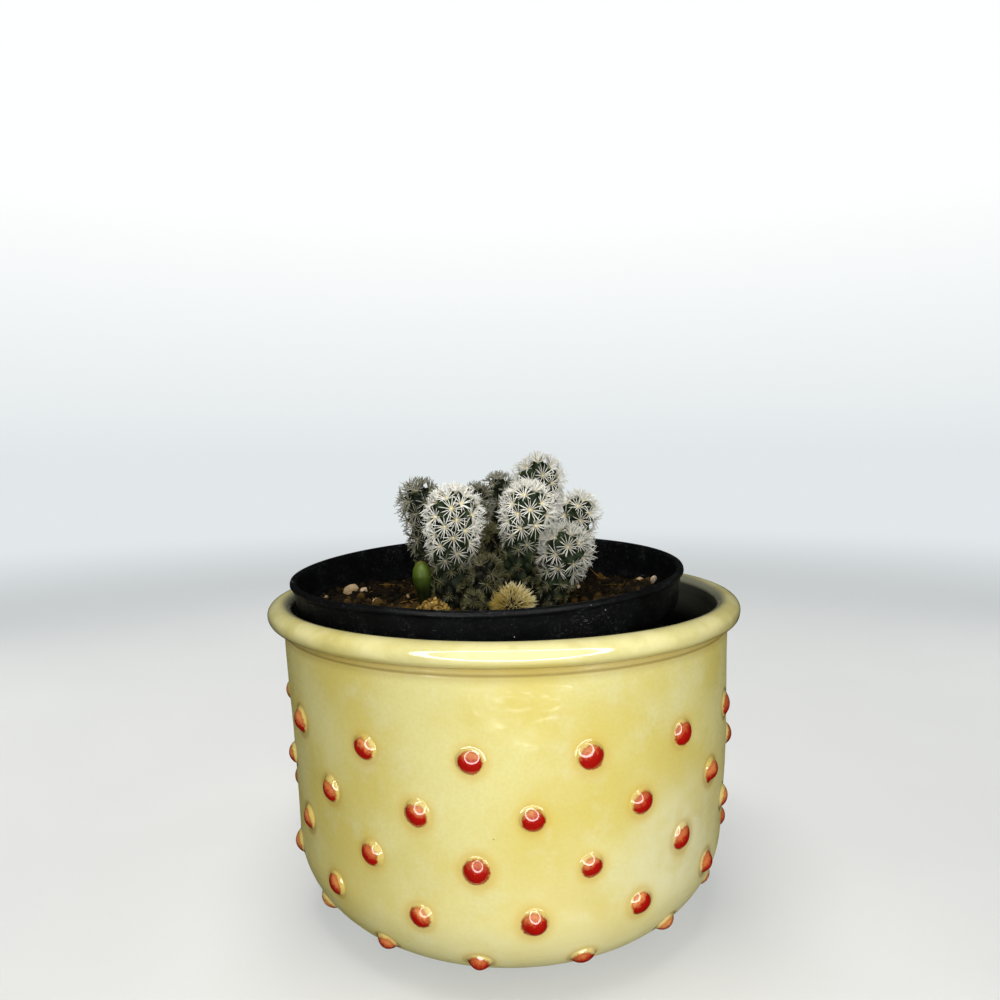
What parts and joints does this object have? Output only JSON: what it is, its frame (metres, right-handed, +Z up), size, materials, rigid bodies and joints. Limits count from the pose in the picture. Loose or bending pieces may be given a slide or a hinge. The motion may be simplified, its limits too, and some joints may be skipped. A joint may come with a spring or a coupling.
{
  "type": "potted thimble cactus",
  "caption": "Clump of small thimble cactus heads with white star spines in a thin black nursery pot, set askew in a wide yellow glazed cachepot with a rolled rim and raised red dots.",
  "frame": {"origin": "under the middle of the cachepot's mouth, on the surface that its foot stands on", "axes": "+Z up; +X to the right and +Y to the back as the picture sees it"},
  "size_m": [0.1427, 0.1428, 0.1352],
  "materials": {
    "yellow_glaze": "glossy, thin over the rim, with raised red-orange glazed dots",
    "black_plastic": "satin moulded plastic, dusty and lightly scratched",
    "potting_soil": "dark peat with golden-brown lumps and pale bits",
    "cactus": "dark green tubercles under white star-shaped spine clusters",
    "straw_cactus": "dense straw-coloured spines",
    "green_bud": "smooth, waxy",
    "dry_crumbs": "rough, dry, golden brown"
  },
  "bodies": {
    "root": {"cachepot": "yellow_glaze", "nursery_pot": "black_plastic", "potting_soil": "potting_soil", "head_front_left": "cactus", "head_front_middle": "cactus", "head_front_right": "cactus", "head_top": "cactus", "head_back_left": "cactus", "head_back_inner": "cactus", "head_back_middle": "cactus", "head_back_right": "cactus", "head_low_front": "cactus", "head_low_inner": "cactus", "offset_small": "cactus", "offset_straw": "straw_cactus", "green_bud": "green_bud", "dry_crumbs": "dry_crumbs"}
  },
  "joints": []
}
